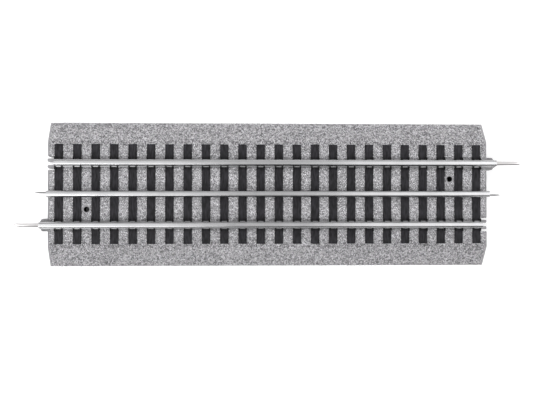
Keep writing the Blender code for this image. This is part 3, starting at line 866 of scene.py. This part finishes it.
def build_pins(material):
    """Make the pin in the male end of each outer rail."""
    inner, tip = pin_low.x, pin_high.x
    z = (pin_low.z + pin_high.z) / 2
    bm = bmesh.new()
    rings = []
    for x, radius in pin_profile(inner, far_high.x + GAP, tip):
        lean = max(0.0, x - (tip - PIN_NOSE)) / PIN_NOSE
        shift = RAIL_Y - PIN_NOSE_SHIFT * lean ** 2
        rings.append([bm.verts.new((x, shift + v, z + w))
                      for v, w in arc((0.0, 0.0), radius, 0.0, 360.0, PIN_SIDES)[:-1]])
    for ring, following in zip(rings, rings[1:]):
        for index in range(PIN_SIDES):
            after = (index + 1) % PIN_SIDES
            bm.faces.new((ring[index], ring[after], following[after], following[index]))
    bm.faces.new(rings[0])
    point = bm.verts.new((tip, RAIL_Y - PIN_NOSE_SHIFT, z))
    for index in range(PIN_SIDES):
        bm.faces.new((rings[-1][index], rings[-1][(index + 1) % PIN_SIDES], point))
    mesh = mesh_from(bm, "turned_pin")
    for name, angle in (("right", 0.0), ("left", math.pi)):
        pin = new_object(f"turned_pin_{name}", mesh.copy())
        pin.data.transform(Matrix.Rotation(angle, 4, "Z"))
        smooth(pin, 40.0)
        keep(pin, material, "pin", f"rail_pin_{name}")


# ------------------------------------------------------------- sleepers

GRAIN_DEPTH = 0.07 * MM
GRAIN_WAVES = 9
GRAIN_STEPS = 16                    # points across a sleeper's top
LENGTH_STEPS = 76
CHAMFER = 0.22 * MM
CHAIR_WIDTH = 0.8 * MM
CHAIR_THICKNESS = 0.5 * MM
CHAIR_POST = 1.0 * MM
CHAIR_REACH = 0.75 * MM
CHAIR_ROOT = 0.5 * MM
CHAIR_ROUND = 0.3 * MM
CHAIR_TIP_ROUND = 0.1 * MM
CHAIR_INSET = 0.05 * MM             # from the sleeper's side


def chair_outline(rail_y, side):
    """Return a hook's outline across the track, on one side of a rail."""
    foot = OUTER_FOOT_WIDTH / 2
    inner = foot + GAP / 3
    outer = foot + GAP + CHAIR_POST
    tip = foot - CHAIR_REACH
    under = RAIL_BASE + FOOT_EDGE + FOOT_RISE + GAP / 3
    top = RAIL_BASE + FOOT_EDGE + FOOT_RISE + GAP + CHAIR_THICKNESS
    embedded = SLEEPER_TOP - CHAIR_ROOT
    round_off, tip_round = CHAIR_ROUND, CHAIR_TIP_ROUND
    outline = [(inner, embedded), (outer, embedded),
               *arc((outer - round_off, top - round_off), round_off, 0.0, 90.0, 4),
               *arc((tip + tip_round, top - tip_round), tip_round, 90.0, 180.0, 2),
               (tip, under), (inner, under)]
    return [(rail_y + side * y, z) for y, z in outline]


def sleeper(name, x, generator):
    """Make one sleeper with wood grain along its top and hooks at the outer rails."""
    half_width, half_length = SLEEPER_WIDTH / 2, SLEEPER_LENGTH / 2
    across = np.linspace(-half_width + CHAMFER, half_width - CHAMFER, GRAIN_STEPS)
    along = np.linspace(-half_length + CHAMFER, half_length - CHAMFER, LENGTH_STEPS)
    depth = np.zeros((LENGTH_STEPS, GRAIN_STEPS))
    for _ in range(GRAIN_WAVES):
        waves = generator.uniform(0.8, 3.4) / SLEEPER_WIDTH
        drift = generator.uniform(-0.45, 0.45)
        phase = generator.uniform(0.0, math.tau)
        bend = 0.25 * MM * np.sin(along / (generator.uniform(5.0, 14.0) * MM) + phase)
        lines = math.tau * waves * (across[None, :] + bend[:, None] + drift * 0.02 * along[:, None])
        depth += np.sin(lines + phase) * generator.uniform(0.4, 1.0)
    depth = GRAIN_DEPTH * (depth / np.abs(depth).max() - 1.0) / 2
    bm = bmesh.new()
    rings = []
    for step, y in enumerate(along):
        top = [(offset, SLEEPER_TOP + sink) for offset, sink in zip(across, depth[step])]
        left_edge = (-half_width, SLEEPER_TOP - CHAMFER)
        right_edge = (half_width, SLEEPER_TOP - CHAMFER)
        section = [(-half_width, SLEEPER_BOTTOM), left_edge, *top, right_edge,
                   (half_width, SLEEPER_BOTTOM)]
        rings.append([bm.verts.new((x + offset, y, z)) for offset, z in section])
    for edge, ring in ((-half_length, rings[0]), (half_length, rings[-1])):
        lowered = [bm.verts.new((vert.co.x, edge, min(vert.co.z, SLEEPER_TOP - CHAMFER)))
                   for vert in ring]
        if edge < 0:
            rings.insert(0, lowered)
        else:
            rings.append(lowered)
    count = len(rings[0])
    for ring, following in zip(rings, rings[1:]):
        for index in range(count):
            after = (index + 1) % count
            bm.faces.new((ring[index], ring[after], following[after], following[index]))
    bm.faces.new(rings[0])
    bm.faces.new(rings[-1])
    made = new_object(name, mesh_from(bm, name))

    bm = bmesh.new()
    offset = half_width - CHAIR_INSET - CHAIR_WIDTH / 2
    for rail_y in (-RAIL_Y, RAIL_Y):
        for side in (-1, 1):
            for middle in (x - offset, x + offset):
                slab(bm, chair_outline(rail_y, side), *centred(middle, CHAIR_WIDTH))
    combine(made, new_object("hooks", mesh_from(bm, "hooks")), "UNION")
    return made


def build_sleepers(material):
    """Make every sleeper with a grain of its own."""
    for number in range(1, SLEEPER_COUNT + 1):
        x = FIRST_SLEEPER + (number - 1) * SLEEPER_PITCH
        made = sleeper(f"grained_sleeper_{number:02d}", x, np.random.default_rng(40 + number))
        smooth(made, 35.0)
        keep(made, material, "sleeper", f"sleeper_{number:02d}")


# ----------------------------------------------------------------- studio

# Soft panels around the track: x, y and z ranges and brightness.  The overhead
# ones hang at the ceiling; the walls stand between the floor and the ceiling.
# The panel over the middle is dim, so the rails brighten towards both ends.
CEILING = 1.0
PANELS = (
    ("key_left", (-1.50, -0.70), (-0.90, -0.20), (CEILING, CEILING), 7.8),
    ("left_near", (-0.70, -0.19), (-0.90, -0.20), (CEILING, CEILING), 3.1),
    ("left_top", (-1.50, -0.19), (-0.20, 0.20), (CEILING, CEILING), 1.55),
    ("left_back", (-1.50, -0.19), (0.20, 0.45), (CEILING, CEILING), 0.7),
    ("middle", (-0.19, 0.31), (-0.45, 0.45), (CEILING, CEILING), 0.9),
    ("right_near", (0.31, 0.80), (-0.45, 0.45), (CEILING, CEILING), 1.8),
    ("key_right", (0.80, 1.60), (-0.20, 0.45), (CEILING, CEILING), 2.3),
    ("back", (-1.50, 1.60), (0.45, 0.90), (CEILING, CEILING), 0.7),
    ("wall_back", (-1.50, 1.50), (0.90, 0.90), (0.0, CEILING), 0.85),
    ("wall_left", (-1.50, -1.50), (-0.90, 0.90), (0.0, CEILING), 1.6),
    ("wall_right", (1.60, 1.60), (-0.90, 0.90), (0.0, CEILING), 3.6),
)
FLOOR_REACH = 12.0
FAR_FLOOR = (1.0, 2.0)              # from white paint to a white distance
FLOOR_GLOW = 0.2
UNLIT = (0.118, 0.036)              # half size of the floor that does not glow, under the deck
CAMERA_LENS = 69.6
CAMERA_PLACE = (-0.0348, -0.0132, 0.6063)
CAMERA_ANGLES = (0.946, -3.170, -0.044)


def soft_panel(name, ranges, radiance):
    """Make an area light that fills three ranges, one of them flat, facing the track."""
    low = Vector([numbers[0] for numbers in ranges])
    high = Vector([numbers[1] for numbers in ranges])
    middle, size = (low + high) / 2, high - low
    flat = min(range(3), key=lambda axis: size[axis])
    first, second = [axis for axis in range(3) if axis != flat]
    away = Vector([math.copysign(axis == flat, middle[axis]) for axis in range(3)])
    across = Vector([float(axis == first) for axis in range(3)])
    light = bpy.data.lights.new(name, "AREA")
    light.shape = "RECTANGLE"
    light.size = size[first]
    light.size_y = size[second]
    light.energy = radiance * math.pi * size[first] * size[second]
    obj = bpy.data.objects.new(name, light)
    bpy.context.scene.collection.objects.link(obj)
    turn = Matrix((across, away.cross(across), away)).transposed()
    obj.matrix_world = Matrix.Translation(middle) @ turn.to_4x4()


def studio():
    """Make the floor, the soft lights and the camera."""
    bm = bmesh.new()
    corners = [bm.verts.new((x * FLOOR_REACH, y * FLOOR_REACH, 0.0))
               for x, y in ((-1, -1), (1, -1), (1, 1), (-1, 1))]
    bm.faces.new(corners)
    floor = new_object("floor", mesh_from(bm, "floor"))
    paint = Nodes("floor_white")
    outside = [paint.reckon("GREATER_THAN", paint.reckon("ABSOLUTE", paint.along(axis)), limit)
               for axis, limit in zip("XY", UNLIT)]
    paint.feed("Base Color", (0.96, 0.96, 0.96, 1.0))
    paint.feed("Roughness", 0.9)
    paint.feed("Emission Color", (1.0, 1.0, 1.0, 1.0))
    glow = paint.spread(paint.beside(0.0, 0.0), *FAR_FLOOR, FLOOR_GLOW, 1.0)
    lit = paint.reckon("MAXIMUM", *outside)
    paint.feed("Emission Strength", paint.reckon("MULTIPLY", lit, glow))
    floor.data.materials.append(paint.material)

    for name, *ranges, radiance in PANELS:
        soft_panel(name, ranges, radiance)
    world = bpy.data.worlds.new("studio")
    world.use_nodes = True
    world.node_tree.nodes["Background"].inputs["Strength"].default_value = 0.0
    bpy.context.scene.world = world

    camera = bpy.data.cameras.new("camera")
    camera.lens = CAMERA_LENS
    camera.clip_start = 0.05
    obj = bpy.data.objects.new("camera", camera)
    bpy.context.scene.collection.objects.link(obj)
    obj.location = CAMERA_PLACE
    obj.rotation_euler = [math.radians(angle) for angle in CAMERA_ANGLES]
    bpy.context.scene.camera = obj
    bpy.context.scene.view_settings.view_transform = "Standard"


def give(node, material):
    """Assign a material to a CAD node that stays as it is."""
    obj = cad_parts[node]
    obj.material_slots[0].link = "OBJECT"
    obj.material_slots[0].material = material


ballast = ballast_material()
black = sleeper_material()
# The rail and pin metals get painted shade below the heights given last: the rail's foot and the
# pin's underside are darkened.
plated = metal_material("rail_plated", (0.46, 0.46, 0.468), 0.25,
                        (RAIL_BASE + 1.0 * MM, RAIL_BASE + 2.0 * MM, 0.6))
blade = metal_material("blade_steel", (0.24, 0.24, 0.243), 0.45)
bright = metal_material("pin_plated", (0.82, 0.80, 0.80), 0.38,
                        (18.6 * MM, 19.3 * MM, 0.62))
brass = metal_material("terminal_brass", (0.72, 0.58, 0.33), 0.32)

build_ballast(ballast)
build_tongue_stones(ballast)
build_sleepers(black)
build_rails(plated)
build_pins(bright)
give("roadbed", roadbed_material())
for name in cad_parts:
    if name.startswith("centre_blade"):
        give(name, blade)
    elif name.startswith(("outer_jumper", "centre_terminal")):
        give(name, brass)

studio()
